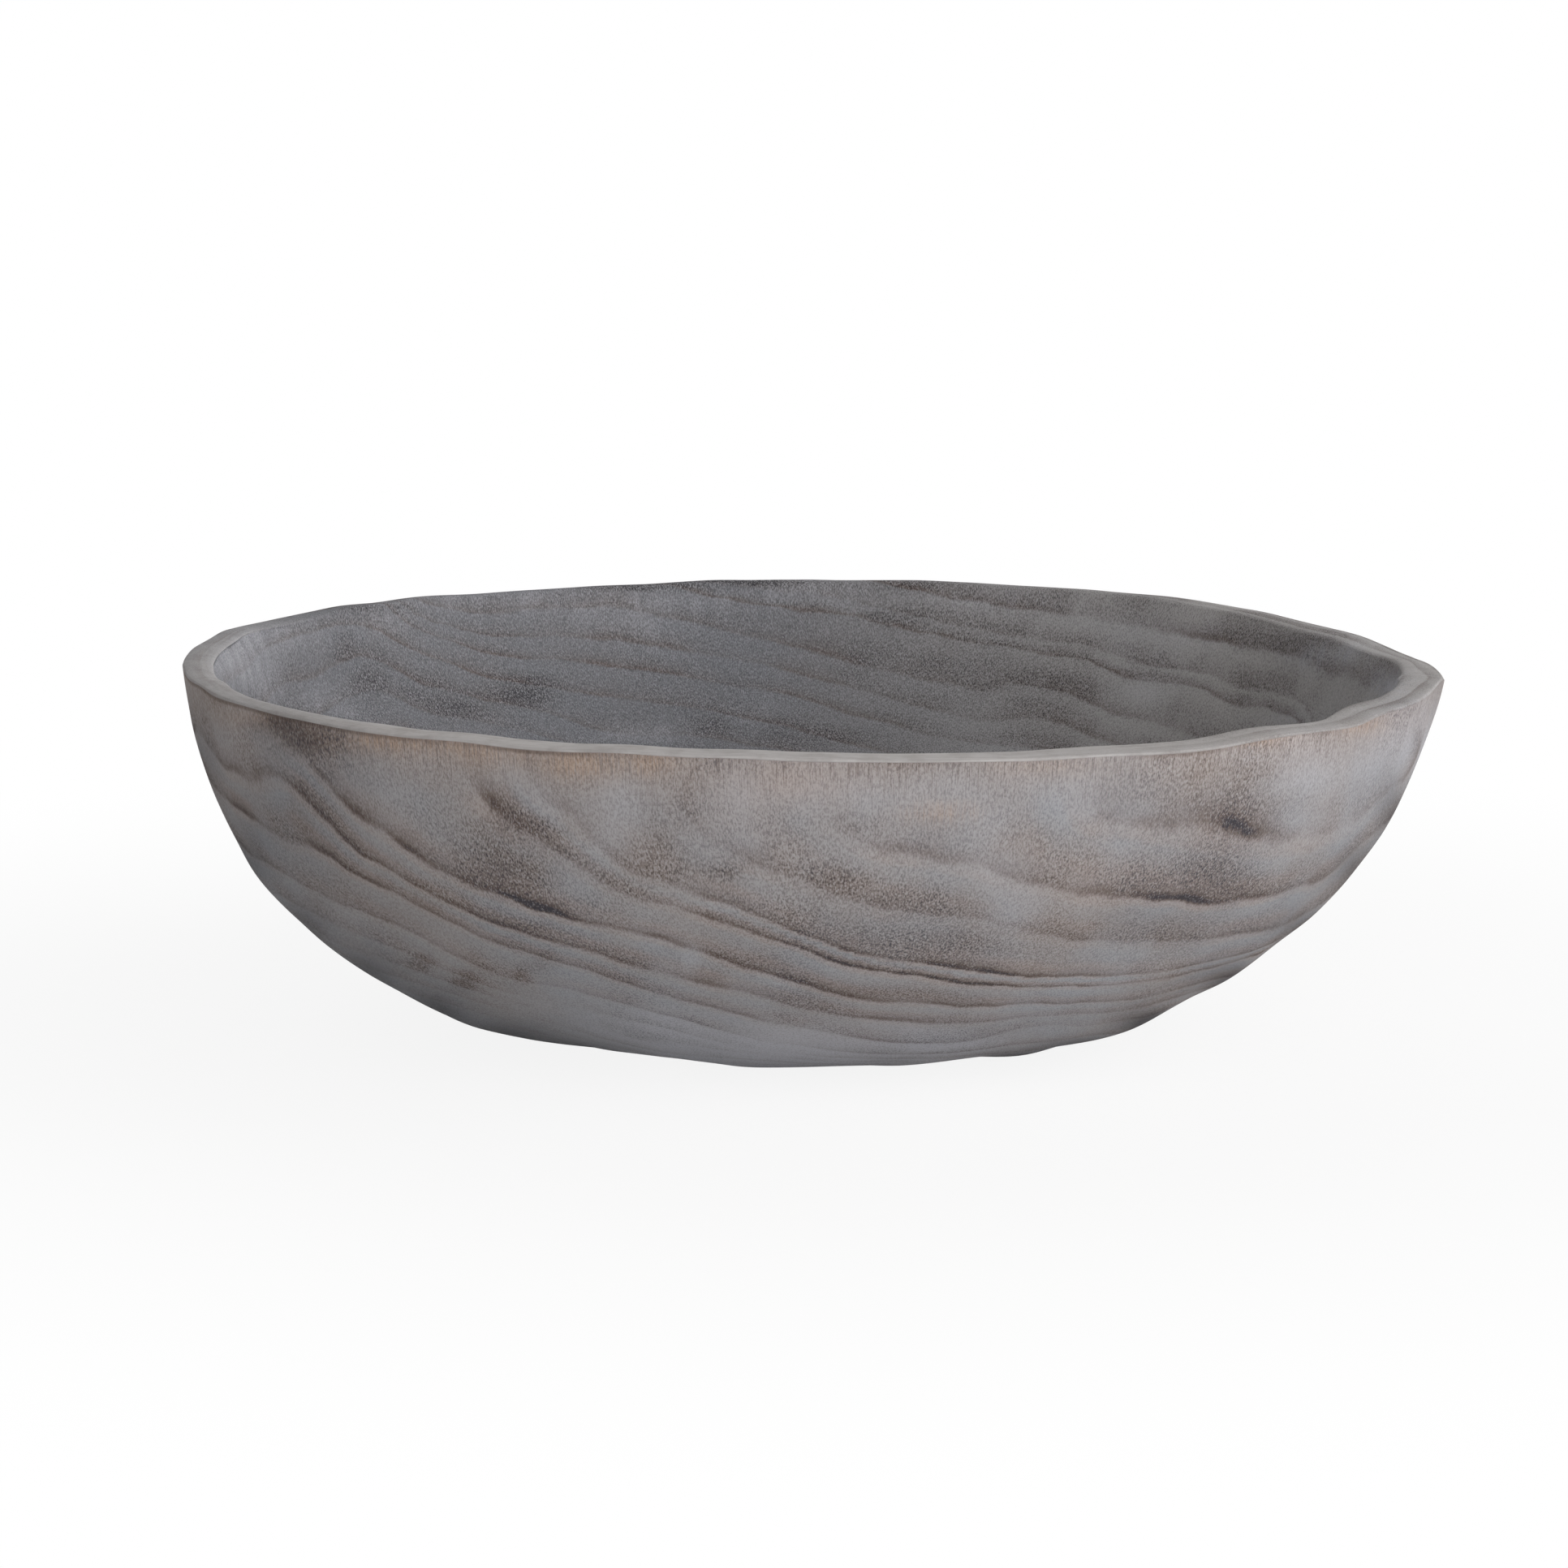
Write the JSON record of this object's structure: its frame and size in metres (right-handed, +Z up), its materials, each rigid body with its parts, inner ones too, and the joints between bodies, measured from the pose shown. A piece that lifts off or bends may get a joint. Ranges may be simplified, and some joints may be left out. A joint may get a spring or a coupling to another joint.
{
  "type": "dough bowl",
  "caption": "Round wooden dough bowl hewn by hand from one block of pale grey wood, with a thick uneven rim, a rounded belly and a flat foot to stand on.",
  "frame": {"origin": "on the table, under the middle of the rim's outer edge", "axes": "+Z up out of the hollow; +X to the right in the picture, towards the rim's low side; +Y away from the viewer"},
  "size_m": [0.4314, 0.4314, 0.1276],
  "materials": {
    "wood": "grey washed, open pored, matt"
  },
  "bodies": {
    "root": {"bowl": "wood"}
  },
  "joints": []
}
